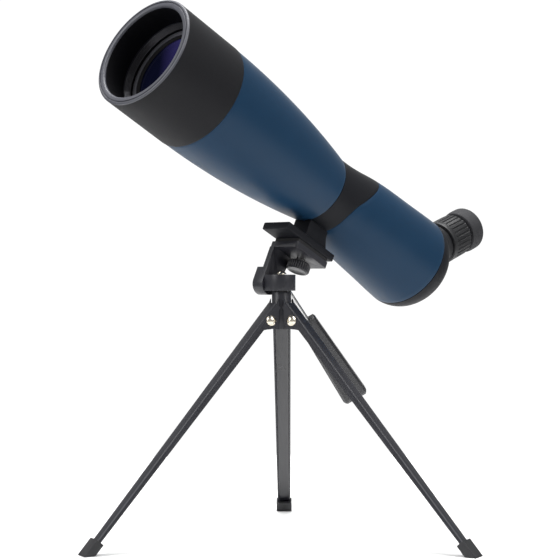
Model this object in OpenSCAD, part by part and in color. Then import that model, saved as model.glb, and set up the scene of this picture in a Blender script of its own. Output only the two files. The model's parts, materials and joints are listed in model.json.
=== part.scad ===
// Angled spotting scope on a table-top tripod.
// Units are millimetres and +Z is up. The scope looks along +X, and the floor is at Z = 0.
// The origin is on the floor, under the middle of the whole outline.

/* [Scope] */
// How far the line of sight is tipped up at rest, degrees
scope_pitch = 26.2; // [20:0.1:30]
// Radius of the hood at its open front
hood_front_r = 38.4; // [37:0.1:39]
// Radius of the hood where it meets the barrel
hood_rear_r = 38.7; // [38:0.1:39.5]
// Length of the hood
hood_len = 54; // [48:1:58]
// Radius of the bore of the hood
hood_bore_r = 33; // [32:0.1:34]
// Length of the tapered front barrel
barrel_len = 125; // [115:1:130]
// Radius of the barrel's rear end, at the collar
barrel_neck_r = 26.6; // [26:0.1:28]
// Thickness of the barrel and housing walls
wall = 2; // [1.6:0.1:2.4]
// Radius of the objective lens
objective_r = 30.5; // [29:0.1:31]
// Angle between the eyepiece and the line of sight, degrees
eyepiece_angle = 45.7; // [45:0.1:46]
// Radius of the zoom ring
zoom_r = 16.1; // [15:0.1:16.5]
// Radius of the rubber eyecup
eyecup_r = 16.5; // [16:0.1:17]

/* [Foot and bracket] */
// Length of the foot plate under the scope
foot_len = 51; // [46:1:54]
// Width of the foot plate and of the bracket's platform
plate_w = 24.2; // [22:0.2:26]
// Height of the optical axis over the tilt axis
axis_rise = 77; // [75:0.1:79]
// Length of the bracket's platform
platform_len = 34; // [32:1:36]
// Radius of the bracket's tilt knuckle
knuckle_r = 7.6; // [7:0.1:8]
// Width of the bracket's arm, across the scope
arm_w = 9.4; // [9:0.1:10]
// Radius of the screw knob
knob_r = 8.2; // [8:0.1:8.4]

/* [Tripod] */
// Height of the tilt axis above the floor
tilt_z = 174.3; // [173:0.1:177]
// Radius of the pan base
pan_base_r = 9.6; // [9.2:0.1:10]
// Height of the pan base
pan_base_h = 11; // [10:0.5:11]
// Height of the leg pins above the floor
leg_pin_z = 149.3; // [147:0.1:151]
// Distance of each leg pin from the pan axis
leg_pin_r = 11.2; // [11:0.1:12]
// Angle of a spread leg below the horizontal, degrees
leg_slope = 49.3; // [47:0.5:51]
// Direction of the first leg, measured from the line of sight, degrees
first_leg = 103; // [98:1:108]
// Length of the handle's grip
grip_len = 78; // [70:1:80]

/* [Hidden] */
$fn = 64;
gap = 0.05;

// Places of the pan and tilt axes
pan_x = 34;
pan_y = -20;
tilt_x = 3;
tilt_station = 3.7;

// Stations along the optical axis, from the collar's front edge
rim_x = barrel_len + hood_len;
seam_top_x = -45.5;
eyepiece_x = -112.7;
eyepiece_z = -0.1;

// Heights below the optical axis
foot_top_z = -39.7;
foot_bottom_z = -45;
platform_top_z = -47.7;
platform_t = 4.3;
platform_bottom_z = platform_top_z - platform_t;
foot_front_x = 23.8;
platform_front_x = 10.6;
screw_x = -9;

// Places along the eyepiece
neck_end = 37.5;
zoom_end = 59.8;
cup_start = 61.8;
cup_end = 76;

module on_pan() {
    translate([pan_x, pan_y, 0])
        children();
}

// Frame on the tilt axis, with +X along the line of sight
module on_head() {
    on_pan()
        translate([tilt_x, 0, tilt_z])
            rotate([0, -scope_pitch, 0])
                children();
}

// Frame on the optical axis, at the collar's front edge
module on_scope() {
    on_head()
        translate([-tilt_station, 0, axis_rise])
            children();
}

// Turns an outline of [radius, station] points about the optical axis
module turned(points) {
    rotate([0, 90, 0])
        rotate_extrude()
            polygon(points);
}

// Frame on the eyepiece's axis, with +Z towards the eye
module on_eyepiece() {
    on_scope()
        translate([eyepiece_x, 0, eyepiece_z])
            rotate([0, eyepiece_angle - 90, 0])
                children();
}

// Frame on a leg's pin, with +X down the leg and +Z out through its web
module on_leg(index) {
    on_pan()
        rotate([0, 0, first_leg + 120 * index])
            translate([leg_pin_r, 0, leg_pin_z])
                rotate([0, leg_slope, 0])
                    children();
}

// Frame on the handle, with +Z down the handle from the arm's middle
handle_drop = 20.6;
handle_y = -12.8;
handle_root = 13.4;
grip_start = 51.7;
module on_handle() {
    on_head()
        translate([0, handle_y, handle_root])
            rotate([0, -90 - handle_drop, 0])
                children();
}

// ---------------------------------------------------------------- scope

hood_lip = 1.2;
thread_x = rim_x - 18;
groove_r = 36.4;
module hood() {
    color("dimgray")
        on_scope()
            turned([
                [hood_bore_r, thread_x], [hood_bore_r, rim_x - 0.6], [hood_bore_r + 0.6, rim_x],
                [groove_r - 0.3, rim_x], [groove_r - 0.3, rim_x - 0.5],
                [groove_r + 0.3, rim_x - 0.5], [groove_r + 0.3, rim_x],
                [hood_front_r - hood_lip, rim_x], [hood_front_r, rim_x - hood_lip],
                [hood_rear_r, barrel_len + 0.5], [hood_rear_r - 0.5, barrel_len],
                [36, barrel_len], [36, thread_x]
            ]);
}

// Outer radius of the front barrel at a station
barrel_front_r = 38.4;
function barrel_r(x) = barrel_front_r
    - (barrel_front_r - barrel_neck_r) * pow((barrel_len - x) / barrel_len, 2);
barrel_steps = 20;
spigot_len = 9;
module front_barrel() {
    outside = [for (i = [0:barrel_steps])
        let (x = barrel_len * i / barrel_steps) [barrel_r(x), x]];
    inside = [for (i = [barrel_steps - 1:-1:0])
        let (x = barrel_len * i / barrel_steps) [barrel_r(x) - wall, x]];
    spigot = [[36 - gap, barrel_len], [36 - gap, barrel_len + spigot_len],
        [34, barrel_len + spigot_len], [34, barrel_len]];
    color("steelblue")
        on_scope()
            turned(concat(outside, spigot, inside));
}

// Threaded front of the cell: fine rings that step inwards
thread_pitch = 1.0;
thread_turns = 4;
thread_r = 32.9;
cell_rear_x = thread_x - 24;
retainer_x = thread_x - 7;
lens_seat_x = thread_x - 18;
module objective_cell() {
    rings = [for (i = [0:thread_turns - 1])
        let (x = thread_x - 1 - i * thread_pitch, r = thread_r - 0.3 * i)
        each [[r, x], [r + 0.5, x - thread_pitch * 0.3], [r, x - thread_pitch * 0.6]]];
    color("black")
        on_scope()
            turned(concat(
                [[36 - gap, cell_rear_x], [36 - gap, thread_x - gap], [thread_r, thread_x - gap]],
                rings,
                [[31.7, retainer_x + 1.6], [31.7, retainer_x - 2.4],
                 [objective_r + gap, retainer_x - 2.4], [objective_r + gap, lens_seat_x],
                 [28, lens_seat_x], [28, cell_rear_x]]
            ));
}

module lens_retainer() {
    color("gray")
        on_scope()
            turned([
                [31.7 - gap, retainer_x - 2.4], [31.7 - gap, retainer_x - 0.3],
                [31.4, retainer_x], [28.8, retainer_x], [28.4, retainer_x - 0.4],
                [28.4, retainer_x - 2.4]
            ]);
}

// Half outline of a round lens between two spherical faces, with bulges towards +X
lens_steps = 10;
function sag(r, edge_r, bulge) = bulge * (1 - pow(r / edge_r, 2));
function lens_outline(edge_r, rear_x, front_x, rear_bulge, front_bulge) = concat(
    [for (i = [0:lens_steps]) let (r = edge_r * i / lens_steps)
        [r, rear_x + sag(r, edge_r, rear_bulge)]],
    [for (i = [lens_steps:-1:0]) let (r = edge_r * i / lens_steps)
        [r, front_x + sag(r, edge_r, front_bulge)]]
);

crown_front_x = retainer_x - 2.9;
module objective_crown_lens() {
    color("lightblue", 0.5)
        on_scope()
            turned(lens_outline(objective_r, crown_front_x - 3.5, crown_front_x, -2.6, 2.6));
}

module objective_flint_lens() {
    color("lightcyan", 0.5)
        on_scope()
            turned(lens_outline(objective_r, lens_seat_x + 0.3, crown_front_x - 3.6, -1, -2.7));
}

// Side view of the collar's part of the body: its rear seam slants back towards the top
seam_low_x = -16.3;
seam_knee_x = -19.5;
seam_knee_z = -6;
seam_steps = 6;
module collar_side(front) {
    reach = 45;
    knee = [for (i = [0:seam_steps]) let (t = i / seam_steps)
        [seam_low_x + (seam_knee_x - seam_low_x) * t * t,
         seam_knee_z - 14 * (1 - t)]];
    slant = (seam_top_x - seam_knee_x) / 37;
    rotate([90, 0, 0])
        linear_extrude(2 * reach, center = true)
            polygon(concat(
                [[front, -reach], [seam_low_x, -reach]],
                knee,
                [[seam_knee_x + slant * (reach - seam_knee_z), reach], [front, reach]]
            ));
}

// Outline of the hollow body behind the barrel, as [radius, distance back]
droop = 1.3;
body_len = 109.5;
body_rear_r = 35.3;
function body_outline(inset) = [
    [26.2 - inset, 0.7], [26.7 - inset, 12], [28.1 - inset, 24], [30.1 - inset, 36],
    [31.7 - inset, 50], [32.7 - inset, 65], [33.5 - inset, 80], [34.5 - inset, 95],
    [body_rear_r - inset, body_len]
];

// Frame on the body's own axis, which droops a little, with +Z towards the back
module on_body() {
    rotate([0, -droop, 0])
        rotate([0, -90, 0])
            children();
}

// The hollow body, shared out between the collar and the prism housing
module body_shell() {
    inside = body_outline(wall);
    on_body()
        rotate_extrude()
            polygon(concat(body_outline(0), [for (i = [len(inside) - 1:-1:0]) inside[i]]));
}

pedestal_w = 15;
pedestal_front_x = 1.2;
pedestal_rear_x = -19;
insert_r = 5;
module mount_collar() {
    foot_rear_x = foot_front_x - foot_len;
    color("dimgray")
        on_scope()
            difference() {
                union() {
                    intersection() {
                        body_shell();
                        collar_side(0);
                    }
                    difference() {
                        rotate([90, 0, 0])
                            linear_extrude(pedestal_w, center = true)
                                polygon([
                                    [pedestal_front_x, -24], [pedestal_front_x, foot_top_z + 2],
                                    [pedestal_front_x + 2, foot_top_z],
                                    [pedestal_rear_x - 4, foot_top_z],
                                    [pedestal_rear_x - 1.5, foot_top_z + 3],
                                    [pedestal_rear_x + 2.2, -24]
                                ]);
                        turned([[0, 0], [27.6, 0], [27.6, 4], [0, 4]]);
                        on_body()
                            rotate_extrude()
                                polygon([[0, -5], [25.6, -5], [25.6, 15.6], [27.2, 15.6],
                                    [28.1, 24], [30.1, 36], [0, 36]]);
                    }
                    translate([foot_rear_x, -plate_w / 2, foot_bottom_z])
                        foot_plate();
                }
                translate([screw_x, 0, foot_bottom_z - 1])
                    cylinder(r = insert_r, h = 9);
            }
}

// Foot plate with cut corners, a bevelled top edge and a fine step round its lower edge
corner = 1.2;
module foot_plate() {
    height = foot_top_z - foot_bottom_z;
    step = 0.8;
    difference() {
        linear_extrude(height)
            plate_outline(0);
        difference() {
            translate([0, 0, -1])
                linear_extrude(step + 1)
                    plate_outline(-5);
            translate([0, 0, -2])
                linear_extrude(step + 3)
                    plate_outline(0.5);
        }
    }
}

module plate_outline(inset) {
    polygon([
        [corner, inset], [foot_len - corner, inset], [foot_len - inset, corner],
        [foot_len - inset, plate_w - corner], [foot_len - corner, plate_w - inset],
        [corner, plate_w - inset], [inset, plate_w - corner], [inset, corner]
    ]);
}

module foot_thread_insert() {
    color("goldenrod")
        on_scope()
            translate([screw_x, 0, foot_bottom_z])
                difference() {
                    cylinder(r = insert_r - gap, h = 7.9);
                    translate([0, 0, -1])
                        cylinder(r = 3.2, h = 10);
                }
}

eyepiece_hole_r = 15.2;
shaft_x = -56;
shaft_z = 6;
bushing_r = 5;
module rear_housing() {
    color("steelblue")
        on_scope()
            difference() {
                body_shell();
                collar_side(1);
                translate([shaft_x, -40, shaft_z])
                    rotate([-90, 0, 0])
                        cylinder(r = bushing_r, h = 30);
            }
}

// Domed end cap behind the housing, with the eyepiece port
cap_depth = 27.2;
cap_steps = 12;
function cap_outline(edge_r, depth) = [for (i = [0:cap_steps])
    let (a = 90 * i / cap_steps) [edge_r * cos(a), depth * sin(a)]];

module on_cover() {
    on_body()
        translate([0, 0, body_len])
            children();
}

module rear_cover() {
    color("dimgray")
        on_scope()
            difference() {
                on_cover()
                    rotate_extrude()
                        polygon(concat([[0, 0]], cap_outline(body_rear_r, cap_depth)));
                on_cover()
                    rotate_extrude()
                        polygon(concat([[0, -1], [body_rear_r - wall, -1]],
                            cap_outline(body_rear_r - wall, cap_depth - wall)));
                translate([eyepiece_x, 0, eyepiece_z])
                    rotate([0, eyepiece_angle - 90, 0])
                        cylinder(r = eyepiece_hole_r, h = 60);
            }
}

// ---------------------------------------------------------------- inside the scope

prism_w = 24;
prism_front_x = -102.9;
holder_t = 4;
module prism_holder() {
    color("black")
        on_scope()
            difference() {
                on_cover()
                    translate([0, 0, -11])
                        cylinder(r = 32.6, h = holder_t);
                translate([-120, -12, -12])
                    cube([40, 24, 24]);
            }
}

module prism() {
    color("lightcyan", 0.5)
        on_scope()
            translate([prism_front_x, 0, 0])
                rotate([90, 0, 0])
                    linear_extrude(prism_w, center = true)
                        polygon([[0, -13], [0, 13], [-13, 17], [-23, 7], [-14, -11]]);
}

// Sliding carriage of the focusing lens, with a rack along one side
carriage_x = -52;
carriage_len = 26;
carriage_r = 15;
pinion_r = 3.2;
rack_y = -20;
guide_r = 17;
module focus_carriage() {
    color("black")
        on_scope()
            difference() {
                union() {
                    translate([carriage_x - carriage_len / 2, 0, 0])
                        rotate([0, 90, 0])
                            cylinder(r = carriage_r, h = carriage_len);
                    translate([carriage_x - carriage_len / 2, rack_y, shaft_z - pinion_r - 3.3])
                        cube([carriage_len, 7, 3]);
                }
                translate([carriage_x - carriage_len, 0, 0])
                    rotate([0, 90, 0])
                        cylinder(r = 12.5, h = 2 * carriage_len);
            }
}

// Fixed tube that the carriage slides in, slotted along one side for the rack
module focus_guide() {
    color("black")
        on_scope()
            difference() {
                union() {
                    translate([-74, 0, 0])
                        rotate([0, 90, 0])
                            cylinder(r = guide_r, h = 44);
                    on_body()
                        translate([0, 0, 71])
                            cylinder(r = 30.9, h = 3);
                }
                translate([-80, 0, 0])
                    rotate([0, 90, 0])
                        cylinder(r = carriage_r + gap, h = 60);
                translate([-71, -30, shaft_z - 8])
                    cube([60, 20, 13]);
            }
}

module focus_lens() {
    color("lightblue", 0.5)
        on_scope()
            turned(lens_outline(12.5 - gap, carriage_x - 2.5, carriage_x + 2.5, 1, -1));
}

knob_out_y = -50;
focus_knob_r = 11;
module focus_shaft() {
    color("silver")
        on_scope()
            translate([shaft_x, 0, shaft_z]) {
                translate([0, knob_out_y + 3, 0])
                    rotate([-90, 0, 0])
                        cylinder(r = 2, h = 28);
                translate([0, rack_y, 0])
                    rotate([-90, 0, 0])
                        cylinder(r = pinion_r - 0.3, h = 4);
            }
}

module focus_bushing() {
    color("goldenrod")
        on_scope()
            translate([shaft_x, -36.5, shaft_z])
                rotate([-90, 0, 0])
                    difference() {
                        union() {
                            cylinder(r = bushing_r - gap, h = 8.5);
                            cylinder(r = bushing_r + 2, h = 4);
                        }
                        translate([0, 0, -1])
                            cylinder(r = 2 + gap, h = 12);
                    }
}

knob_ribs = 36;
module focus_knob() {
    color("dimgray")
        on_scope()
            translate([shaft_x, knob_out_y, shaft_z])
                rotate([-90, 0, 0])
                    difference() {
                        union() {
                            cylinder(r = focus_knob_r - 0.8, h = 1);
                            translate([0, 0, 1])
                                cylinder(r = focus_knob_r, h = 10);
                        }
                        for (i = [0:knob_ribs - 1])
                            rotate([0, 0, 360 * i / knob_ribs])
                                translate([focus_knob_r + 0.2, 0, 2])
                                    cylinder(r = 0.6, h = 10, $fn = 16);
                        translate([0, 0, 3])
                            cylinder(r = 2, h = 10);
                        translate([0, 0, 8])
                            cylinder(r = 7.5, h = 10);
                    }
}

// ---------------------------------------------------------------- eyepiece

module eyepiece_neck() {
    color("dimgray")
        on_eyepiece()
            rotate_extrude()
                polygon([
                    [11.5, 22], [eyepiece_hole_r - gap, 22], [eyepiece_hole_r - gap, 35],
                    [14.2, neck_end - 0.4], [14.2, neck_end - 0.2], [11.5, neck_end - 0.2]
                ]);
}

// Fixed tube under the zoom ring and the eyecup
module eye_tube() {
    color("black")
        on_eyepiece()
            rotate_extrude()
                polygon([
                    [9, neck_end - 8], [11.45, neck_end - 8], [11.45, neck_end - 0.1],
                    [12, neck_end - 0.1], [12, zoom_end + 0.2],
                    [13.6, zoom_end + 0.2], [13.6, cup_start + 0.1], [12.6, cup_start + 0.1],
                    [12.6, cup_end - 6], [9, cup_end - 6]
                ]);
}

// Ring with a plain front band and a ribbed grip
zoom_ribs = 30;
band_len = 4;
module zoom_ring() {
    ring_len = zoom_end - neck_end;
    color("dimgray")
        on_eyepiece()
            translate([0, 0, neck_end])
                difference() {
                    union() {
                        cylinder(r = zoom_r + 0.2, h = band_len);
                        translate([0, 0, band_len - 0.1])
                            linear_extrude(ring_len - band_len - 0.9)
                                difference() {
                                    circle(r = zoom_r);
                                    for (i = [0:zoom_ribs - 1])
                                        rotate([0, 0, 360 * i / zoom_ribs])
                                            translate([zoom_r + 0.5, 0])
                                                circle(r = 1, $fn = 16);
                                }
                        cylinder(r = zoom_r - 0.9, h = ring_len);
                    }
                    translate([0, 0, -1])
                        cylinder(r = 12 + gap, h = ring_len + 2);
                }
}

module eyecup() {
    color("dimgray")
        on_eyepiece()
            rotate_extrude()
                polygon([
                    [12.6 + gap, cup_start + 0.3], [eyecup_r - 1, cup_start + 0.3],
                    [eyecup_r - 0.4, cup_start + 1.2], [eyecup_r, cup_start + 5],
                    [eyecup_r, cup_end - 4.5], [eyecup_r - 0.5, cup_end - 2.3],
                    [eyecup_r - 1.7, cup_end - 0.7], [eyecup_r - 3.2, cup_end],
                    [eyecup_r - 4.6, cup_end - 0.8], [eyecup_r - 4.6, cup_end - 2.5],
                    [12.6 + gap, cup_end - 4]
                ]);
}

module eye_lens() {
    color("lightblue", 0.5)
        on_eyepiece()
            rotate_extrude()
                polygon(lens_outline(9 - gap, cup_end - 13, cup_end - 9, -1.2, 1.2));
}

module field_lens() {
    color("lightblue", 0.5)
        on_eyepiece()
            rotate_extrude()
                polygon(lens_outline(9 - gap, neck_end + 2, neck_end + 5, -1, 1));
}

// ---------------------------------------------------------------- tilting head

arm_rear_x = -11.3;
arm_top_z = platform_bottom_z - 1;
rod_r = 2.5;
module tilt_bracket() {
    inner_y = -8;
    cheek_t = plate_w / 2 + inner_y;
    color("dimgray")
        difference() {
            union() {
                on_scope()
                    platform();
                on_head()
                    translate([0, inner_y, 0])
                        rotate([90, 0, 0]) {
                            linear_extrude(cheek_t)
                                polygon([
                                    [-knuckle_r, 2], [arm_rear_x, axis_rise + platform_bottom_z],
                                    [knuckle_r, axis_rise + platform_bottom_z], [knuckle_r, 0],
                                    [0, 0]
                                ]);
                            intersection() {
                                linear_extrude(arm_w)
                                    arm_side();
                                rotate([0, -90, 0])
                                    linear_extrude(40, center = true)
                                        arm_end();
                            }
                            cylinder(r = knuckle_r, h = arm_w);
                        }
            }
            on_head()
                rotate([90, 0, 0])
                    cylinder(r = 2.55, h = 40);
            on_head()
                translate([0, inner_y - arm_w + 3, 0])
                    rotate([90, 0, 0])
                        cylinder(r = 4.6, h = 10);
            on_handle()
                translate([0, 0, -4])
                    cylinder(r = rod_r, h = 40);
            on_scope()
                translate([screw_x, 0, platform_bottom_z - 1])
                    cylinder(r = 3.3, h = platform_t + 2);
        }
}

module arm_side() {
    top = axis_rise + arm_top_z;
    polygon([
        [-knuckle_r, 0], [-knuckle_r - 1.5, top - 3], [-knuckle_r + 1, top],
        [knuckle_r - 2.5, top], [knuckle_r, top - 3], [knuckle_r, 0]
    ]);
}

// End view of the arm, with its outer top corner rounded off
arm_round = 4;
module arm_end() {
    top = axis_rise + arm_top_z;
    arc = [for (a = [0:15:90])
        [top - arm_round + arm_round * cos(a), arm_w - arm_round + arm_round * sin(a)]];
    polygon(concat([[-1, 0], [top, 0]], arc, [[-1, arm_w]]));
}

module platform() {
    rear_x = platform_front_x - platform_len;
    cut = 1;
    translate([0, 0, platform_bottom_z])
        linear_extrude(platform_t)
            polygon([
                [platform_front_x, -plate_w / 2], [platform_front_x, plate_w / 2 - 1],
                [platform_front_x - 1, plate_w / 2], [rear_x + cut, plate_w / 2],
                [rear_x, plate_w / 2 - cut], [rear_x, cut - plate_w / 2],
                [rear_x + cut, -plate_w / 2]
            ]);
}

module platform_pad() {
    inset = 1.2;
    height = foot_bottom_z - platform_top_z;
    color("black")
        on_scope()
            difference() {
                translate([platform_front_x - platform_len + inset, inset - plate_w / 2, platform_top_z])
                    cube([platform_len - 2 * inset, plate_w - 2 * inset, height]);
                translate([screw_x, 0, platform_top_z - 1])
                    cylinder(r = 3.3, h = height + 2);
            }
}

knob_top_z = platform_bottom_z - 2.6;
knob_h = 6.5;
module mount_screw() {
    color("silver")
        on_scope()
            translate([screw_x, 0, 0]) {
                translate([0, 0, knob_top_z - knob_h + 1])
                    cylinder(r = 3.15, h = foot_bottom_z + 6 - knob_top_z + knob_h - 1);
            }
}

screw_knob_ribs = 30;
module screw_knob() {
    color("dimgray")
        on_scope()
            translate([screw_x, 0, knob_top_z - knob_h])
                difference() {
                    rotate_extrude()
                        polygon([
                            [0, 0], [knob_r - 1.4, 0], [knob_r - 0.5, 0.7], [knob_r, 1.4],
                            [knob_r, knob_h - 0.6], [knob_r - 0.6, knob_h], [4.6, knob_h],
                            [4.6, knob_h + 2.2], [0, knob_h + 2.2]
                        ]);
                    for (i = [0:screw_knob_ribs - 1])
                        rotate([0, 0, 360 * i / screw_knob_ribs])
                            translate([knob_r + 0.35, 0, 1.2])
                                cylinder(r = 0.75, h = knob_h, $fn = 16);
                    translate([0, 0, 1])
                        cylinder(r = 3.15, h = 20);
                }
}

module tilt_bolt() {
    color("silver")
        on_head()
            rotate([90, 0, 0]) {
                translate([0, 0, 4.5])
                    cylinder(r = 2.5, h = 11);
                translate([0, 0, 8 + arm_w - 2.9])
                    cylinder(r = 4.4, h = 2.4);
            }
}

module handle_rod() {
    color("silver")
        on_handle()
            translate([0, 0, -3.9])
                cylinder(r = rod_r - gap, h = grip_start + 15.7);
}

// Flat tapered grip, wider at its far end, turned part of the way round its rod
grip_turn = 43;
grip_root_w = 14;
grip_tip_w = 19;
grip_t = 8;
module handle_grip() {
    bevel = 1.8;
    color("dimgray")
        on_handle()
            translate([0, 0, grip_start])
                rotate([0, 0, grip_turn])
                    difference() {
                        intersection() {
                            rotate([90, 0, 0])
                                linear_extrude(grip_t, center = true)
                                    grip_front();
                            rotate([90, 0, 90])
                                linear_extrude(30, center = true)
                                    polygon([
                                        [-grip_t / 2 + 1, 0], [-grip_t / 2, 4],
                                        [-grip_t / 2, grip_len - 4], [-grip_t / 2 + 1.5, grip_len],
                                        [grip_t / 2 - 1.5, grip_len], [grip_t / 2, grip_len - 4],
                                        [grip_t / 2, 4], [grip_t / 2 - 1, 0]
                                    ]);
                        }
                        for (side = [-1, 1])
                            for (face = [-1, 1])
                                grip_bevel(side, face, bevel);
                        translate([0, 0, -1])
                            cylinder(r = rod_r, h = 13);
                    }
}

module grip_front() {
    polygon([
        [-grip_root_w / 2 + 1, 0], [grip_root_w / 2 - 1, 0], [grip_root_w / 2, 1.5],
        [grip_tip_w / 2, grip_len - 3], [grip_tip_w / 2 - 2, grip_len],
        [-grip_tip_w / 2 + 2, grip_len], [-grip_tip_w / 2, grip_len - 3],
        [-grip_root_w / 2, 1.5]
    ]);
}

// Cuts one long edge of the grip back at 45 degrees
module grip_bevel(side, face, size) {
    lean = atan((grip_tip_w - grip_root_w) / 2 / grip_len);
    translate([side * grip_root_w / 2, face * grip_t / 2, 0])
        rotate([0, side * lean, 0])
            rotate([0, 0, 45])
                cube([size * 1.414, size * 1.414, 3 * grip_len], center = true);
}

// ---------------------------------------------------------------- pan base

pan_top_z = tilt_z + 6.3;
pan_bottom_z = pan_top_z - pan_base_h;
pan_arm_y = 7.7;
module pan_base() {
    color("dimgray")
        on_pan()
            difference() {
                union() {
                    translate([0, 0, pan_bottom_z])
                        cylinder(r = pan_base_r, h = pan_base_h);
                    translate([-9, -pan_arm_y, pan_bottom_z])
                        cube([18, pan_arm_y, pan_base_h]);
                }
                translate([-20, -pan_arm_y - 20, pan_bottom_z - 1])
                    cube([40, 20, pan_base_h + 2]);
                translate([0, 0, pan_bottom_z - 1])
                    cylinder(r = 2.05, h = pan_base_h + 2);
                translate([tilt_x, -4.5, tilt_z])
                    rotate([90, 0, 0])
                        cylinder(r = 2.5, h = 10);
            }
}

module pan_rivet() {
    dome_h = 2.2;
    dome_r = 3.6;
    ball_r = (dome_r * dome_r + dome_h * dome_h) / 2 / dome_h;
    color("goldenrod")
        on_pan() {
            translate([0, 0, hub_bottom_z + 2])
                cylinder(r = 2, h = pan_top_z + 0.3 - hub_bottom_z - 2);
            translate([0, 0, pan_top_z + 0.3])
                intersection() {
                    cylinder(r = dome_r + 1, h = dome_h + 1);
                    translate([0, 0, dome_h - ball_r])
                        sphere(r = ball_r);
                }
        }
}

module pan_washer() {
    color("silver")
        on_pan()
            translate([0, 0, hub_top_z])
                difference() {
                    cylinder(r = 6.4, h = pan_bottom_z - hub_top_z - 0.1);
                    translate([0, 0, -1])
                        cylinder(r = 2.05, h = 4);
                }
}

// ---------------------------------------------------------------- legs

hub_top_z = 168.7;
hub_bottom_z = 143.5;
hub_r = 6.6;
channel_top_w = 12.3;
channel_tip_w = 9.5;
channel_top_d = 5.2;
channel_tip_d = 2.5;
sheet = 1.1;
leg_len = 190;
arm_t = channel_top_w - 2 * sheet - 0.8;
pin_shank_r = 1.9;

module hub() {
    color("dimgray")
        difference() {
            union() {
                on_pan()
                    translate([0, 0, hub_bottom_z])
                        cylinder(r = hub_r, h = hub_top_z - hub_bottom_z);
                for (i = [0:2])
                    on_pan()
                        rotate([0, 0, first_leg + 120 * i])
                            translate([0, 0, leg_pin_z])
                                rotate([90, 0, 0])
                                    linear_extrude(arm_t, center = true)
                                        hub_arm_side();
            }
            on_pan()
                translate([0, 0, hub_bottom_z - 1])
                    cylinder(r = 2, h = 40);
            for (i = [0:2])
                on_leg(i)
                    rotate([90, 0, 0])
                        cylinder(r = pin_shank_r, h = 30, center = true);
        }
}

module hub_arm_side() {
    polygon([
        [4, hub_bottom_z - leg_pin_z + 0.2], [leg_pin_r, hub_bottom_z - leg_pin_z + 0.2],
        [leg_pin_r + 3, -3.4], [leg_pin_r + 3, 0], [leg_pin_r, 3.6],
        [hub_r, 9], [4, 9]
    ]);
}

module leg_pins() {
    head_r = 3.7;
    head_h = 2.3;
    ball_r = (head_r * head_r + head_h * head_h) / 2 / head_h;
    color("silver")
        for (i = [0:2])
            on_leg(i) {
                rotate([90, 0, 0])
                    cylinder(r = pin_shank_r, h = channel_top_w + 0.4, center = true);
                for (side = [-1, 1])
                    rotate([90 * side, 0, 0])
                        translate([0, 0, channel_top_w / 2 + 0.1])
                            intersection() {
                                cylinder(r = head_r + 1, h = head_h + 1);
                                translate([0, 0, head_h - ball_r])
                                    sphere(r = ball_r);
                            }
            }
}

// Side view of a leg: an ear round the pin, with an upright edge beside the hub, then a long taper
ear_tip_u = -15.1;
web_top_u = -11.5;
function web_z(u) = channel_top_d - 0.7 * u / leg_len;
function lip_z(u) = web_z(u) - channel_top_d + 0.1
    + (channel_top_d - channel_tip_d) * u / leg_len;
module leg_side() {
    polygon([
        [ear_tip_u, web_z(0)], [0, web_z(0)], [leg_len, web_z(leg_len)],
        [leg_len, lip_z(leg_len)], [8.5, lip_z(8.5)], [5, -2.6], [2.8, -4.7], [0, -5.4],
        [-2.8, -4.8], [-5.2, -3.4]
    ]);
}

module leg_cavity_side() {
    polygon([
        [ear_tip_u - 5, web_z(0) - sheet], [0, web_z(0) - sheet],
        [leg_len + 1, web_z(leg_len) - sheet], [leg_len + 1, -12], [ear_tip_u - 5, -12]
    ]);
}

module leg_width(inset) {
    wide = channel_top_w / 2 - inset;
    narrow = channel_tip_w / 2 - inset;
    polygon([
        [ear_tip_u - 5, -wide], [0, -wide], [leg_len + 1, -narrow],
        [leg_len + 1, narrow], [0, wide], [ear_tip_u - 5, wide]
    ]);
}

module leg(index) {
    color("dimgray")
        on_leg(index)
            difference() {
                intersection() {
                    rotate([90, 0, 0])
                        linear_extrude(40, center = true)
                            leg_side();
                    translate([0, 0, -20])
                        linear_extrude(40)
                            leg_width(0);
                }
                intersection() {
                    rotate([90, 0, 0])
                        linear_extrude(40, center = true)
                            leg_cavity_side();
                    translate([0, 0, -20])
                        linear_extrude(40)
                            leg_width(sheet);
                }
                translate([-30, sheet - channel_top_w / 2, -10])
                    cube([30 + web_top_u, channel_top_w - 2 * sheet, 30]);
                rotate([90, 0, 0])
                    cylinder(r = pin_shank_r + gap, h = 30, center = true);
            }
}

module leg_1() { leg(0); }
module leg_2() { leg(1); }
module leg_3() { leg(2); }

// Rubber shoe on a leg's end, cut flat on the floor
shoe_w = 11.5;
shoe_d = 6.2;
shoe_start = 188;
shoe_len = 18;
module leg_foot(index) {
    color("black")
        difference() {
            on_leg(index)
                translate([shoe_start, -shoe_w / 2, web_z(leg_len) + 1.4 - shoe_d])
                    cube([shoe_len, shoe_w, shoe_d]);
            on_leg(index)
                intersection() {
                    translate([shoe_start - 1, -20, -20])
                        cube([leg_len - shoe_start + 1.2, 40, 40]);
                    leg_shell_room();
                }
            translate([-400, -400, -100])
                cube([800, 800, 100]);
        }
}

// Room for the solid outline of a leg's end
module leg_shell_room() {
    rotate([90, 0, 0])
        linear_extrude(channel_tip_w + 0.2, center = true)
            polygon([
                [0, web_z(0) + 0.05], [leg_len + 1, web_z(leg_len) + 0.05],
                [leg_len + 1, lip_z(leg_len) - 0.05], [0, lip_z(0) - 0.05]
            ]);
}

module leg_foot_1() { leg_foot(0); }
module leg_foot_2() { leg_foot(1); }
module leg_foot_3() { leg_foot(2); }

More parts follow.
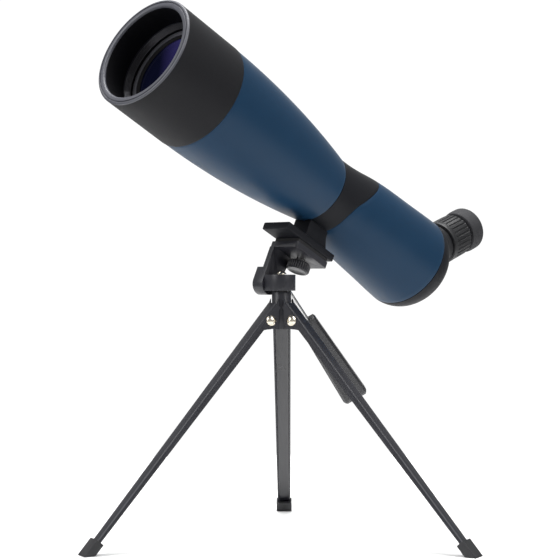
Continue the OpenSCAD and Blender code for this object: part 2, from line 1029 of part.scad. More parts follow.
hood();
objective_cell();
lens_retainer();
objective_crown_lens();
objective_flint_lens();
front_barrel();
mount_collar();
foot_thread_insert();
rear_housing();
rear_cover();
prism_holder();
prism();
focus_guide();
focus_carriage();
focus_lens();
focus_shaft();
focus_knob();
focus_bushing();
eyepiece_neck();
eye_tube();
zoom_ring();
eyecup();
eye_lens();
field_lens();
tilt_bracket();
platform_pad();
mount_screw();
screw_knob();
tilt_bolt();
handle_rod();
handle_grip();
pan_base();
pan_rivet();
pan_washer();
hub();
leg_pins();
leg_1();
leg_2();
leg_3();
leg_foot_1();
leg_foot_2();
leg_foot_3();
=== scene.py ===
import json
import math
import bmesh
import bpy
from mathutils import Matrix, Vector


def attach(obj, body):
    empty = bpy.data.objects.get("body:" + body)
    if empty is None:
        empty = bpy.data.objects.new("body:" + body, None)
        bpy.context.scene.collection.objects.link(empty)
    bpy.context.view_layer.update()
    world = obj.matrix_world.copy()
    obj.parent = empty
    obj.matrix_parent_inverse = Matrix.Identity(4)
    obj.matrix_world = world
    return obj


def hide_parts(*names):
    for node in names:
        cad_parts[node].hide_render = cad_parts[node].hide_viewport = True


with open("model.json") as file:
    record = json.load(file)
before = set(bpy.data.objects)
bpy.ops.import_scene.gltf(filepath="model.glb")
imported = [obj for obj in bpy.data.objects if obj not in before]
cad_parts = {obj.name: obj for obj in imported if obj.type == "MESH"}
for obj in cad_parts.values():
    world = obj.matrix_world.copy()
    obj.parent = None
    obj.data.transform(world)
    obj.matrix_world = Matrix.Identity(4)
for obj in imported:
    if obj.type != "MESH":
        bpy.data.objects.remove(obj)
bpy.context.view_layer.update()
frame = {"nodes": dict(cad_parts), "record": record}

NODES = frame["nodes"]


def rad(a):
    return math.radians(a)


def turn(angle, axis):
    return Matrix.Rotation(rad(angle), 4, axis)


def move(x, y, z):
    return Matrix.Translation(Vector((x, y, z)) * 0.001)


SCOPE_PITCH = 26.2   # degrees the scope points up
REAR_DROOP = 1.3     # degrees the rear body hangs below the optical axis
EYE_ANGLE = 45.7     # degrees between the body and the eyepiece
FIRST_LEG = 103      # compass angle of leg 1, in degrees
LEG_SLOPE = 49.3     # degrees each leg falls from level
RIM = 179.0          # front rim of the hood along the optical axis, in millimetres

# Frames that follow the CAD's own placement, in millimetres
PAN = move(34, -20, 0)
HEAD = PAN @ move(3, 0, 174.3) @ turn(-SCOPE_PITCH, "Y")
SCOPE = HEAD @ move(-3.7, 0, 77)
AXIAL = SCOPE @ turn(90, "Y")
LEAN = turn(-REAR_DROOP, "Y") @ turn(-90, "Y")
BODY = SCOPE @ LEAN
EYE = SCOPE @ move(-112.7, 0, -0.1) @ turn(EYE_ANGLE - 90, "Y")


def leg_frame(i):
    return (PAN @ turn(FIRST_LEG + 120 * i, "Z") @ move(11.2, 0, 149.3)
            @ turn(LEG_SLOPE, "Y"))


# ---------------------------------------------------------------- materials

def surface(name, base, rough, metal=0.0, grain=900.0, bump=0.05, vary=0.18, spots=0.0,
           spot_scale=2500.0, coat=0.0, specular=0.5):
    """An opaque surface with mottled colour, uneven gloss, and fine relief or specks."""
    rough_vary = 0.08
    m = bpy.data.materials.new(name)
    m.use_nodes = True
    nt = m.node_tree
    b = nt.nodes["Principled BSDF"]
    b.inputs["Metallic"].default_value = metal
    b.inputs["Coat Weight"].default_value = coat
    b.inputs["Coat Roughness"].default_value = 0.12
    b.inputs["Specular IOR Level"].default_value = specular
    where = nt.nodes.new("ShaderNodeTexCoord")
    fine = nt.nodes.new("ShaderNodeTexNoise")
    fine.inputs["Scale"].default_value = grain
    fine.inputs["Detail"].default_value = 4.0
    nt.links.new(where.outputs["Object"], fine.inputs["Vector"])
    broad = nt.nodes.new("ShaderNodeTexNoise")
    broad.inputs["Scale"].default_value = 45.0
    broad.inputs["Detail"].default_value = 3.0
    nt.links.new(where.outputs["Object"], broad.inputs["Vector"])
    ramp = nt.nodes.new("ShaderNodeValToRGB")
    lo = [c * (1 - vary) for c in base]
    hi = [c * (1 + vary) for c in base]
    ramp.color_ramp.elements[0].position = 0.3
    ramp.color_ramp.elements[0].color = (*lo, 1)
    ramp.color_ramp.elements[1].position = 0.7
    ramp.color_ramp.elements[1].color = (*hi, 1)
    mix = nt.nodes.new("ShaderNodeMath")
    mix.operation = "MULTIPLY_ADD"
    mix.inputs[1].default_value = 0.6
    nt.links.new(fine.outputs["Fac"], mix.inputs[0])
    part = nt.nodes.new("ShaderNodeMath")
    part.operation = "MULTIPLY"
    part.inputs[1].default_value = 0.4
    nt.links.new(broad.outputs["Fac"], part.inputs[0])
    nt.links.new(part.outputs[0], mix.inputs[2])
    nt.links.new(mix.outputs[0], ramp.inputs["Fac"])
    colour = ramp.outputs["Color"]
    if spots > 0:
        speck = nt.nodes.new("ShaderNodeTexVoronoi")
        speck.inputs["Scale"].default_value = spot_scale
        nt.links.new(where.outputs["Object"], speck.inputs["Vector"])
        level = nt.nodes.new("ShaderNodeMapRange")
        level.inputs["From Min"].default_value = 0.28
        level.inputs["From Max"].default_value = 0.1
        level.inputs["To Min"].default_value = 0.0
        level.inputs["To Max"].default_value = spots
        nt.links.new(speck.outputs["Distance"], level.inputs["Value"])
        blend = nt.nodes.new("ShaderNodeMixRGB")
        blend.inputs["Color2"].default_value = (*[min(1, c * 3 + 0.02) for c in base], 1)
        nt.links.new(level.outputs[0], blend.inputs["Fac"])
        nt.links.new(colour, blend.inputs["Color1"])
        colour = blend.outputs["Color"]
    nt.links.new(colour, b.inputs["Base Color"])
    shine = nt.nodes.new("ShaderNodeMapRange")
    shine.inputs["To Min"].default_value = max(0.02, rough - rough_vary)
    shine.inputs["To Max"].default_value = min(1.0, rough + rough_vary)
    nt.links.new(broad.outputs["Fac"], shine.inputs["Value"])
    nt.links.new(shine.outputs[0], b.inputs["Roughness"])
    if bump > 0:
        relief = nt.nodes.new("ShaderNodeBump")
        relief.inputs["Strength"].default_value = bump
        relief.inputs["Distance"].default_value = 0.0002
        nt.links.new(fine.outputs["Fac"], relief.inputs["Height"])
        nt.links.new(relief.outputs["Normal"], b.inputs["Normal"])
    return m


def glass_with_painted_highlight(name):
    """Dark glass with a painted blue-violet highlight that grows towards one fixed side, and a
    faint painted glow from emission.
    """
    m = bpy.data.materials.new(name)
    m.use_nodes = True
    nt = m.node_tree
    b = nt.nodes["Principled BSDF"]
    b.inputs["Metallic"].default_value = 0.6
    b.inputs["Roughness"].default_value = 0.08
    where = nt.nodes.new("ShaderNodeTexCoord")
    wash = nt.nodes.new("ShaderNodeTexNoise")
    wash.inputs["Scale"].default_value = 30.0
    wash.inputs["Detail"].default_value = 1.0
    nt.links.new(where.outputs["Object"], wash.inputs["Vector"])
    # painted highlight: the tint brightens towards one fixed side, measured in object coordinates
    across = nt.nodes.new("ShaderNodeVectorMath")
    across.operation = "DOT_PRODUCT"
    across.inputs[1].default_value = PAINTED_HIGHLIGHT_SIDE
    nt.links.new(where.outputs["Object"], across.inputs[0])
    painted_highlight_span = nt.nodes.new("ShaderNodeMapRange")
    painted_highlight_span.inputs["From Min"].default_value = PAINTED_HIGHLIGHT_MID - 0.012
    painted_highlight_span.inputs["From Max"].default_value = PAINTED_HIGHLIGHT_MID + 0.020
    nt.links.new(across.outputs["Value"], painted_highlight_span.inputs["Value"])
    both = nt.nodes.new("ShaderNodeMath")
    both.operation = "MULTIPLY_ADD"
    both.inputs[1].default_value = 0.22
    nt.links.new(wash.outputs["Fac"], both.inputs[0])
    nt.links.new(painted_highlight_span.outputs[0], both.inputs[2])
    ramp = nt.nodes.new("ShaderNodeValToRGB")
    ramp.color_ramp.elements[0].position = 0.22
    ramp.color_ramp.elements[0].color = (0.004, 0.005, 0.018, 1)
    ramp.color_ramp.elements[1].position = 1.0
    ramp.color_ramp.elements[1].color = (0.10, 0.12, 0.34, 1)
    violet = ramp.color_ramp.elements.new(0.6)
    violet.color = (0.035, 0.030, 0.13, 1)
    nt.links.new(both.outputs[0], ramp.inputs["Fac"])
    nt.links.new(ramp.outputs["Color"], b.inputs["Base Color"])
    # painted glow: the same colour feeds emission, so the lens shines although it is not a lamp
    nt.links.new(ramp.outputs["Color"], b.inputs["Emission Color"])
    b.inputs["Emission Strength"].default_value = 0.35
    return m


# side and centre of the painted highlight on the lens glass
PAINTED_HIGHLIGHT_SIDE = (math.cos(rad(133.9)), math.sin(rad(133.9)), 0.0)
PAINTED_HIGHLIGHT_MID = (AXIAL @ Vector((0, 0, 0.152))).dot(Vector(PAINTED_HIGHLIGHT_SIDE))

M = {
    "blue_paint": surface("satin_blue", (0.006, 0.030, 0.068), 0.42, grain=1400, bump=0.03,
                         vary=0.05, specular=0.16),
    "hood_black": surface("hood_charcoal", (0.0078, 0.0080, 0.0098), 0.58, grain=2200, bump=0.12,
                         vary=0.2, spots=0.12, spot_scale=2600, specular=0.16),
    "collar_black": surface("collar_charcoal", (0.0060, 0.0066, 0.0090), 0.54, grain=2200,
                           bump=0.12, vary=0.2, spots=0.1, specular=0.16),
    "inside_black": surface("flat_black", (0.0025, 0.0025, 0.0035), 0.6, grain=1500, bump=0.05,
                           specular=0.12),
    "thread_black": surface("anodised_black", (0.05, 0.05, 0.058), 0.34, metal=0.55,
                           grain=1500, bump=0.02),
    "rim_grey": surface("rim_lip", (0.060, 0.062, 0.076), 0.4, grain=2200, bump=0.04,
                       specular=0.5),
    "ring_grey": surface("turned_grey", (0.10, 0.10, 0.115), 0.40, metal=0.3, grain=1800,
                        bump=0.02),
    "brass": surface("turned_brass", (0.45, 0.31, 0.12), 0.3, metal=1.0, bump=0.02),
    "steel": surface("plated_steel", (0.5, 0.5, 0.5), 0.25, metal=1.0, bump=0.02),
    "nickel": surface("warm_nickel", (0.72, 0.66, 0.55), 0.22, metal=1.0, bump=0.01,
                     vary=0.06),
    "tripod_black": surface("crinkle_black", (0.0115, 0.0118, 0.0170), 0.42, grain=2000, bump=0.22,
                           vary=0.3, spots=0.05, spot_scale=1500, specular=0.5),
    "pad_rubber": surface("pad_black", (0.008, 0.008, 0.009), 0.8, bump=0.1),
    "foot_rubber": surface("foot_black", (0.010, 0.010, 0.012), 0.55, grain=1600, bump=0.2,
                          specular=0.5),
    "cup_rubber": surface("cup_grey", (0.017, 0.0172, 0.0205), 0.72, grain=2400, bump=0.18,
                         vary=0.15),
    "grip_plastic": surface("grip_black", (0.006, 0.006, 0.0085), 0.34, grain=1400, bump=0.04,
                           specular=0.6, coat=0.15),
    "knob_plastic": surface("knob_black", (0.012, 0.0122, 0.0155), 0.34, grain=1500, bump=0.15,
                           specular=0.6),
    "eyepiece_black": surface("eyepiece_satin", (0.0045, 0.0050, 0.0066), 0.42, grain=1800,
                             bump=0.08, specular=0.55),
    "lens_glass": glass_with_painted_highlight("lens_painted_highlight_glow"),
    "prism_glass": surface("clear_glass", (0.5, 0.55, 0.6), 0.05, bump=0.0),
}

RECORD_SLOT = {s["node"]: s["material_slot"] for s in frame["record"]["subparts"]}
for name, obj in NODES.items():
    obj.data.materials.clear()
    obj.data.materials.append(M[RECORD_SLOT[name]])


# ---------------------------------------------------------------- mesh tools

def new_object(name, verts, faces, mats, body, node=None, sharp=32, index=None):
    me = bpy.data.meshes.new(name)
    me.from_pydata([tuple(v) for v in verts], [], faces)
    me.validate()
    ob = bpy.data.objects.new(name, me)
    bpy.context.scene.collection.objects.link(ob)
    for m in mats:
        me.materials.append(m)
    if index:
        for p, i in zip(me.polygons, index):
            p.material_index = i
    bm = bmesh.new()
    bm.from_mesh(me)
    bmesh.ops.recalc_face_normals(bm, faces=bm.faces)
    bm.to_mesh(me)
    bm.free()
    for p in me.polygons:
        p.use_smooth = True
    me.set_sharp_from_angle(angle=rad(sharp))
    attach(ob, body)
    if node:
        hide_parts(*([node] if isinstance(node, str) else node))
    return ob


def body_of(node):
    for body, names in frame["record"]["behaviour"]["bodies"].items():
        if node in names:
            return body
    return None


def lathe(name, profile, place, mats, node=None, n=144, closed=True, pick=None,
          ripple=None, sharp=32, body=None):
    """profile is a list of (radius, height) in millimetres, turned about the frame's Z axis."""
    verts, rings = [], []
    for k, (r, z) in enumerate(profile):
        if r < 1e-6:
            rings.append([len(verts)] * n)
            verts.append(place @ Vector((0, 0, z * 0.001)))
            continue
        ring = []
        for i in range(n):
            a = 2 * math.pi * i / n
            q = r if ripple is None else r + ripple(a, z, r)
            ring.append(len(verts))
            verts.append(place @ (Vector((q * math.cos(a), q * math.sin(a), z)) * 0.001))
        rings.append(ring)
    faces, index = [], []
    last = len(profile) if closed else len(profile) - 1
    for k in range(last):
        a, b = rings[k], rings[(k + 1) % len(profile)]
        mid = ((profile[k][0] + profile[(k + 1) % len(profile)][0]) / 2,
               (profile[k][1] + profile[(k + 1) % len(profile)][1]) / 2)
        for i in range(n):
            j = (i + 1) % n
            f = [a[i], a[j], b[j], b[i]]
            f = [v for q, v in enumerate(f) if v not in f[:q]]
            if len(f) > 2:
                faces.append(f)
                index.append(pick(*mid) if pick else 0)
    return new_object(name, verts, faces, mats, body or body_of(node), node, sharp, index)


def soften(node, width):
    """A copy of a CAD node with its hard edges rounded a little."""
    bm = bmesh.new()
    bm.from_mesh(NODES[node].data)
    bmesh.ops.remove_doubles(bm, verts=bm.verts, dist=2e-6)
    bmesh.ops.dissolve_limit(bm, angle_limit=rad(0.6), verts=bm.verts, edges=bm.edges)
    hard = [e for e in bm.edges if len(e.link_faces) == 2
            and e.calc_face_angle(0) > rad(28)]
    bmesh.ops.bevel(bm, geom=hard, offset=width * 0.001, segments=2, profile=0.5,
                    affect="EDGES", clamp_overlap=True, loop_slide=True)
    me = bpy.data.meshes.new(node + "_soft")
    bm.to_mesh(me)
    bm.free()
    ob = bpy.data.objects.new(node + "_soft", me)
    bpy.context.scene.collection.objects.link(ob)
    me.materials.clear()
    me.materials.append(M[RECORD_SLOT[node]])
    for p in me.polygons:
        p.use_smooth = True
        p.material_index = 0
    me.set_sharp_from_angle(angle=rad(30))
    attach(ob, body_of(node))
    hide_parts(node)
    return ob


def arc(cx, cy, r, a0, a1, steps):
    return [(cx + r * math.cos(rad(a0 + (a1 - a0) * i / steps)),
             cy + r * math.sin(rad(a0 + (a1 - a0) * i / steps))) for i in range(steps + 1)]


# ---------------------------------------------------------------- scope front

hood = [(33, RIM - 18), (33, RIM - 1.6), (33.15, RIM - 0.8), (33.6, RIM - 0.25), (34.2, RIM),
        (35.9, RIM), (36.05, RIM - 0.15), (36.15, RIM - 0.7), (36.6, RIM - 0.7),
        (36.7, RIM - 0.15), (36.85, RIM), (37.3, RIM)]
hood += [(r, z) for r, z in arc(37.2, RIM - 1.2, 1.2, 75, 0, 5)]
hood += [(38.4 + 0.3 * (RIM - z) / 54, z) for z in (170, 160, 150, 140, 130, 126.2)]
hood += [(38.62, 125.5), (38.3, 125.05), (36.3, 125.0), (36, 125.3), (36, RIM - 18)]
lathe("hood_shell", hood, AXIAL, [M["hood_black"], M["inside_black"], M["rim_grey"]],
      node="hood", n=192,
      pick=lambda r, z: 2 if z > RIM - 1.4 else (1 if r < 33.1 else 0))


def barrel_r(x):
    return 38.4 - 11.8 * ((125 - x) / 125) ** 2


outer = [(24.9, 0.0), (26.1, 0.0), (26.45, 0.12), (26.62, 0.45)]
outer += [(barrel_r(x), x) for x in [1 + 123.4 * i / 60 for i in range(61)]]
outer += [(38.3, 124.85), (37.9, 125.0), (35.95, 125.0), (35.95, 134), (34, 134), (34, 125)]
outer += [(barrel_r(x) - 2, x) for x in [118 - 118 * i / 24 for i in range(25)]]
lathe("barrel_shell", outer, AXIAL, [M["blue_paint"], M["inside_black"]], node="front_barrel",
      n=192, pick=lambda r, z: 1 if (z < 125 and r < barrel_r(z) - 1) or z > 125 else 0)

cell = [(35.95, RIM - 42), (35.95, RIM - 18.05), (32.95, RIM - 18.05)]
for k in range(5):
    x = RIM - 18.6 - 0.95 * k
    r = 32.9 - 0.22 * k
    cell += [(r, x), (r + 0.05, x - 0.15), (r + 0.5, x - 0.4), (r + 0.5, x - 0.55),
             (r, x - 0.8)]
cell += [(31.75, RIM - 23.4), (31.7, RIM - 27.4), (30.55, RIM - 27.4), (30.55, RIM - 36),
         (28, RIM - 36), (28, RIM - 42)]
lathe("cell_ring", cell, AXIAL, [M["inside_black"], M["thread_black"]], node="objective_cell",
      n=192, pick=lambda r, z: 1 if r < 33.4 and z > RIM - 24 else 0)
ring = [(31.65, RIM - 27.4), (31.65, RIM - 25.35), (31.4, RIM - 25.05), (31.0, RIM - 25),
        (29.0, RIM - 25), (28.7, RIM - 25.1), (28.5, RIM - 25.6), (27.6, RIM - 26.0),
        (26.6, RIM - 26.6), (26.5, RIM - 27.0), (28.4, RIM - 27.2), (28.4, RIM - 27.4)]
lathe("retainer_ring", ring, AXIAL, [M["ring_grey"], M["inside_black"]],
      node="lens_retainer", n=192, pick=lambda r, z: 1 if r < 28.45 else 0)
front = RIM - 27.9
lens = [(30.5 * i / 24, front + 2.6 * (1 - (i / 24) ** 2)) for i in range(25)]
lens += [(30.5, front - 3.4), (0, front - 6.0)]
lathe("crown_lens", lens, AXIAL, [M["lens_glass"]], node="objective_crown_lens", n=160,
      closed=False)

# ---------------------------------------------------------------- scope body

OUTLINE = [(0.7, 26.2), (12, 26.7), (24, 28.1), (36, 30.1), (50, 31.7), (65, 32.7), (80, 33.5),
           (95, 34.5), (109.5, 35.3)]


def body_r(s):
    """Smooth curve through the CAD's outline stations."""
    pts = OUTLINE
    s = min(max(s, pts[0][0]), pts[-1][0])
    for k in range(len(pts) - 1):
        if s <= pts[k + 1][0]:
            break
    (x0, y0), (x1, y1) = pts[k], pts[k + 1]
    m0 = ((y1 - pts[k - 1][1]) / (x1 - pts[k - 1][0])) if k else (y1 - y0) / (x1 - x0)
    m1 = ((pts[k + 2][1] - y0) / (pts[k + 2][0] - x0)) if k + 2 < len(pts) \
        else (y1 - y0) / (x1 - x0)
    h = x1 - x0
    t = (s - x0) / h
    return ((2 * t ** 3 - 3 * t ** 2 + 1) * y0 + (t ** 3 - 2 * t ** 2 + t) * h * m0
            + (-2 * t ** 3 + 3 * t ** 2) * y1 + (t ** 3 - t ** 2) * h * m1)


def seam_x(z):
    if z >= -6:
        return -19.5 - 26 * (z + 6) / 37
    if z >= -20:
        return -16.3 - 3.2 * ((z + 20) / 14) ** 2
    return -16.3


def seam_s(a):
    """Distance back along the body's axis where the seam crosses this side line."""
    s = 25.0
    for _ in range(30):
        r = body_r(s)
        p = LEAN @ Vector((r * math.cos(a), r * math.sin(a), s))
        s += 0.8 * (p.x - seam_x(p.z))
    return s


def band(name, lo, hi, rows, node, mats, n=192):
    """A ring of the rear body between two edge curves; a row is ((share, offset), inset)."""
    verts, faces, grid = [], [], []
    for j in range(len(rows)):
        t, inset = rows[j]
        ring = []
        for i in range(n):
            a = 2 * math.pi * i / n
            s = lo(a) + (hi(a) - lo(a)) * t[0] + t[1]
            r = body_r(s) - inset
            ring.append(len(verts))
            verts.append(BODY @ (Vector((r * math.cos(a), r * math.sin(a), s)) * 0.001))
        grid.append(ring)
    for j in range(len(rows)):
        a, b = grid[j], grid[(j + 1) % len(rows)]
        for i in range(n):
            k = (i + 1) % n
            faces.append([a[i], a[k], b[k], b[i]])
    return new_object(name, verts, faces, mats, "scope", node)


rows = [((0, 0.06), 2.0), ((0, 0.06), 0.45), ((0, 0.22), 0.12), ((0, 0.6), 0.0)]
rows += [((k / 24, 0.6 - 0.6 * k / 24), 0.0) for k in range(1, 24)]
rows += [((1, -0.6), 0.0), ((1, -0.15), 0.15), ((1, 0), 0.45), ((1, 0), 2.0)]
rows += [((k / 6, 0.06 - 0.06 * k / 6), 2.0) for k in range(5, 0, -1)]
band("housing_shell", seam_s, lambda a: 109.5, rows, "rear_housing", [M["blue_paint"]])

# saddle: the collar's skin, its pedestal and the foot plate in one moulding
collar_rows = [((0, 0), 2.0), ((0, 0), 0.1), ((0, 0.15), 0.0)]
collar_rows += [((k / 10, 0), 0.0) for k in range(1, 10)]
collar_rows += [((1, -0.6), 0.0), ((1, -0.2), 0.12), ((1, -0.05), 0.45), ((1, -0.05), 2.0)]
collar_rows += [((k / 4, 0), 2.0) for k in range(3, 0, -1)]
band("collar_skin", lambda a: 0.7, seam_s, collar_rows, "mount_collar", [M["collar_black"]])


def slab(name, outline, half, place, mats, body, node, bevel=0.5):
    """A bevelled slab: an outline in the X-Z plane, spread along Y, all in millimetres."""
    bm = bmesh.new()
    lo = [bm.verts.new(Vector((x, -half, z))) for x, z in outline]
    hi = [bm.verts.new(Vector((x, half, z))) for x, z in outline]
    n = len(outline)
    bm.faces.new(lo)
    bm.faces.new(hi[::-1])
    for i in range(n):
        j = (i + 1) % n
        bm.faces.new([lo[j], lo[i], hi[i], hi[j]])
    bmesh.ops.recalc_face_normals(bm, faces=bm.faces)
    hard = [e for e in bm.edges if e.calc_face_angle(0) > rad(25)]
    bmesh.ops.bevel(bm, geom=hard, offset=bevel, segments=3, profile=0.5, affect="EDGES",
                    clamp_overlap=True)
    bmesh.ops.transform(bm, matrix=place @ Matrix.Scale(0.001, 4), verts=bm.verts)
    me = bpy.data.meshes.new(name)
    bm.to_mesh(me)
    bm.free()
    ob = bpy.data.objects.new(name, me)
    bpy.context.scene.collection.objects.link(ob)
    for m in mats:
        me.materials.append(m)
    for p in me.polygons:
        p.use_smooth = True
    me.set_sharp_from_angle(angle=rad(30))
    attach(ob, body)
    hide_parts(node)
    return ob


flare = [(-18.0 - 5.0 * (t ** 2.2), -26 - 13.7 * t) for t in [k / 8 for k in range(9)]]
slab("pedestal", [(1.2, -26), (1.2, -38.2), (2.2, -39.7)] + flare[::-1], 7.5, SCOPE,
      [M["collar_black"]], "scope", "mount_collar", bevel=0.35)
slab("foot_plate", [(23.8, -39.7), (23.8, -45.0), (-27.2, -45.0), (-27.2, -39.7)], 12.1,
      SCOPE, [M["collar_black"]], "scope", "mount_collar", bevel=0.9)
dome = [(35.3, 0.05), (35.3, 0.3)]
dome += [(35.3 * math.cos(rad(a)), 0.3 + 26.9 * math.sin(rad(a))) for a in range(4, 90, 4)]
dome += [(0, 27.2)]
lathe("rear_cap", [(33.3, 0.05), (34.9, 0.05)] + dome[1:], BODY @ move(0, 0, 109.5),
      [M["collar_black"]], node="rear_cover", n=192, closed=False)

# ---------------------------------------------------------------- eyepiece

lathe("neck_tube", [(11.5, 22), (15.15, 22), (15.15, 35.2), (14.9, 35.9), (14.2, 36.6),
                    (14.2, 37.3), (11.5, 37.3)], EYE, [M["eyepiece_black"]],
      node="eyepiece_neck", n=128)


def ribs(a, z, r):
    if r < 15 or not 42.2 < z < 58.6:
        return 0.0
    w = (a * 30 / (2 * math.pi)) % 1.0
    d = abs(w - 0.5)
    return -0.75 if d < 0.13 else (-0.35 if d < 0.19 else 0.0)


lathe("zoom_grip", [(12.05, 37.5), (15.7, 37.5), (16.2, 37.8), (16.3, 38.3), (16.3, 41.4),
                    (16.1, 41.9), (16.1, 42.0), (16.1, 42.3), (16.1, 46), (16.1, 52),
                    (16.0, 57.5), (15.8, 58.5), (15.3, 59.2), (14.6, 59.7), (12.05, 59.8)],
      EYE, [M["eyepiece_black"]], node="zoom_ring", n=360, ripple=ribs, sharp=40)
lathe("inner_tube", [(9, 29.5), (11.45, 29.5), (11.45, 37.4), (12, 37.4), (12, 60),
                     (13.45, 60), (13.6, 60.2), (13.6, 61.6), (13.4, 61.9), (12.6, 61.9),
                     (12.6, 70), (9, 70)], EYE, [M["thread_black"]], node="eye_tube", n=128)
cup = [(12.65, 62.1), (15.2, 62.1), (15.75, 62.35), (16.0, 62.9), (16.15, 64.2), (16.45, 65.5),
       (16.6, 67.0), (16.6, 70.2)]
cup += arc(13.8, 72.6, 2.75, 5, 88, 9)
cup += [(12.9, 75.95), (12.15, 75.5), (11.9, 74.6), (11.9, 73.5), (12.65, 72)]
cup = [(r, min(z, 76.0)) for r, z in cup]
lathe("cup_rubber_ring", cup, EYE, [M["cup_rubber"]], node="eyecup", n=160, sharp=50)

# ---------------------------------------------------------------- clamp knob

def knurl(a, z, r):
    return -0.85 * (0.5 + 0.5 * math.cos(30 * a)) ** 2 if 7.3 < r and 0.7 < z < 5.9 else 0.0


lathe("clamp_knob", [(3.2, 0.1), (6.2, 0.1), (7.6, 0.4), (7.95, 0.9), (8.2, 1.5), (8.2, 5.0),
                     (7.95, 5.7), (7.4, 6.3), (6.4, 6.5), (5.8, 6.0), (0, 6.0)],
      SCOPE @ move(-9, 0, -54.6) @ turn(180, "X"), [M["knob_plastic"]], node="screw_knob",
      n=360, closed=False, ripple=knurl, sharp=50)

# ---------------------------------------------------------------- tripod

CHANNEL = 190.0


def channel(u):
    """Half width, web height and lip height at this distance down the leg."""
    t = u / CHANNEL
    half = 6.15 - 1.4 * t
    top = 5.2 - 0.7 * t
    lip = top - (5.1 - 2.7 * t)
    return half, top, lip


def u_section(u):
    """Outline of the folded channel, outside first, then inside."""
    sheet, bend, steps = 1.1, 2.2, 5
    half, top, lip = channel(u)
    pts = [(-half, lip)]
    pts += [(-half + bend - bend * math.cos(rad(90 * k / steps)),
             top - bend + bend * math.sin(rad(90 * k / steps))) for k in range(steps + 1)]
    pts += [(half - bend + bend * math.sin(rad(90 * k / steps)),
             top - bend + bend * math.cos(rad(90 * k / steps))) for k in range(steps + 1)]
    pts += [(half, lip), (half - sheet, lip)]
    b = bend - sheet
    h, t = half - sheet, top - sheet
    pts += [(h - b + b * math.cos(rad(90 * k / steps)), t - b + b * math.sin(rad(90 * k / steps)))
            for k in range(steps + 1)]
    pts += [(-h + b - b * math.sin(rad(90 * k / steps)), t - b + b * math.cos(rad(90 * k / steps)))
            for k in range(steps + 1)]
    pts += [(-h, lip)]
    return pts


def build_leg(i):
    """One pressed leg: a tapering channel with two ears for the cross pin."""
    place = leg_frame(i)
    stations = [-11.5, 8.5] + [8.5 + 181.5 * k / 12 for k in range(1, 13)]
    verts, faces, index = [], [], []
    size = len(u_section(0))
    for u in stations:
        if u < 0:
            pts = u_section(0)
            pts = [(y, max(z, 0.2)) for y, z in pts]
        else:
            pts = u_section(u)
        verts += [place @ (Vector((u, y, z)) * 0.001) for y, z in pts]
    for k in range(len(stations) - 1):
        a, b = k * size, (k + 1) * size
        for j in range(size):
            m = (j + 1) % size
            faces.append([a + j, a + m, b + m, b + j])
            index.append(1 if j >= size // 2 + 1 else 0)
    faces.append(list(range(size))[::-1])
    faces.append([(len(stations) - 1) * size + j for j in range(size)])
    index += [0, 0]
    # ears beside the hub
    ear = [(-15.1, 5.2), (-11.5, 4.0), (8.5, 3.2), (8.5, 0.15), (6.6, -1.4), (4.6, -3.5),
           (2.4, -4.8), (0, -5.4), (-2.5, -4.9), (-4.4, -3.9), (-5.4, -3.2)]
    for side in (-1, 1):
        base = len(verts)
        for y in (6.15, 5.05):
            verts += [place @ (Vector((u, side * y, z)) * 0.001) for u, z in ear]
        m = len(ear)
        faces.append([base + j for j in range(m)])
        faces.append([base + m + j for j in range(m)][::-1])
        index += [0, 0]
        for j in range(m):
            q = (j + 1) % m
            faces.append([base + j, base + q, base + m + q, base + m + j])
            index.append(0)
    new_object(f"leg_{i + 1}_channel", verts, faces, [M["tripod_black"], M["leg_inside"]],
               ("leg_one", "leg_two", "leg_three")[i], f"leg_{i + 1}", sharp=28, index=index)


M["leg_inside"] = surface("leg_inside_gloss", (0.008, 0.0082, 0.012), 0.3, grain=700, bump=0.0,
                         vary=0.1, specular=0.8, coat=0.3)
for i in range(3):
    build_leg(i)
    soften(f"leg_foot_{i + 1}", 0.6)
for node, width in (("tilt_bracket", 0.5), ("pan_base", 0.35), ("hub", 0.35),
                    ("handle_grip", 0.5), ("focus_knob", 0.2)):
    soften(node, width)

# ---------------------------------------------------------------- floor, light, camera

bpy.ops.mesh.primitive_circle_add(vertices=128, radius=0.55, fill_type="NGON",
                                  location=(0, 0, -0.0002))
floor = bpy.context.object
floor.name = "floor"
pale = bpy.data.materials.new("pale_floor")
pale.use_nodes = True
p = pale.node_tree.nodes["Principled BSDF"]
p.inputs["Base Color"].default_value = (0.96, 0.96, 0.96, 1)
p.inputs["Roughness"].default_value = 0.5
floor.data.materials.append(pale)

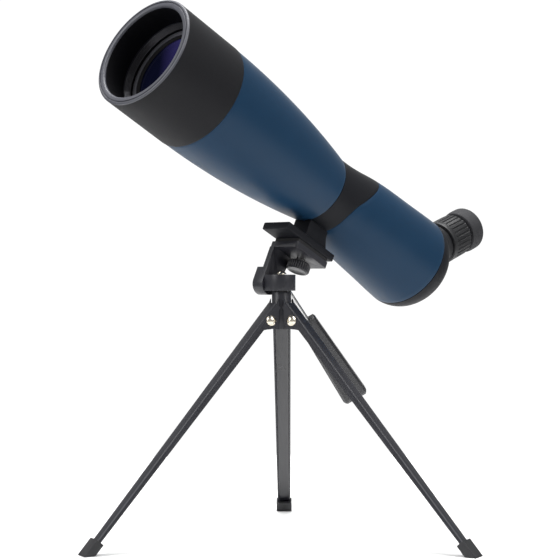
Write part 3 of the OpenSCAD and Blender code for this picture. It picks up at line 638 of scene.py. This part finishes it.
AZ = rad(43.9)
toward = Vector((math.cos(AZ), math.sin(AZ), 0))
right = Vector((-math.sin(AZ), math.cos(AZ), 0))
target = Vector((0.034, -0.020, 0.19))

# A bright backdrop behind the object and a dimmer room elsewhere
world = bpy.data.worlds.new("studio")
bpy.context.scene.world = world
world.use_nodes = True
wt = world.node_tree
sky = wt.nodes.new("ShaderNodeTexCoord")
face = wt.nodes.new("ShaderNodeVectorMath")
face.operation = "DOT_PRODUCT"
face.inputs[1].default_value = tuple(-toward)
wt.links.new(sky.outputs["Generated"], face.inputs[0])
zone = wt.nodes.new("ShaderNodeMapRange")
zone.inputs["From Min"].default_value = 0.80
zone.inputs["From Max"].default_value = 0.955
zone.inputs["To Min"].default_value = 0.38
zone.inputs["To Max"].default_value = 1.05
wt.links.new(face.outputs["Value"], zone.inputs["Value"])
wt.nodes["Background"].inputs["Color"].default_value = (1, 1, 1, 1)
wt.links.new(zone.outputs[0], wt.nodes["Background"].inputs["Strength"])


def softbox(name, r, f, z, size, power):
    data = bpy.data.lights.new(name, "AREA")
    data.shape = "RECTANGLE"
    data.size = size[0]
    data.size_y = size[1]
    data.energy = power
    ob = bpy.data.objects.new(name, data)
    bpy.context.scene.collection.objects.link(ob)
    ob.location = target + right * r + toward * f + Vector((0, 0, z))
    ob.rotation_euler = (target - ob.location).to_track_quat("-Z", "Y").to_euler()


softbox("key_right", 0.9, 0.7, 0.9, (0.6, 0.9), 11)
softbox("fill_left", -0.9, 0.5, 0.7, (0.5, 1.0), 10)
softbox("top", 0.0, -0.2, 1.4, (1.4, 1.0), 30)

data = bpy.data.cameras.new("camera")
data.sensor_width = 36.0
data.lens = 108.7
cam = bpy.data.objects.new("camera", data)
bpy.context.scene.collection.objects.link(cam)
cam.location = Vector((0.034, -0.020, 0)) + toward * 1.155 - right * 0.001 + Vector((0, 0, 0.1769))
cam.rotation_euler = (-toward).to_track_quat("-Z", "Y").to_euler()
bpy.context.scene.camera = cam
bpy.context.scene.view_settings.view_transform = "Standard"
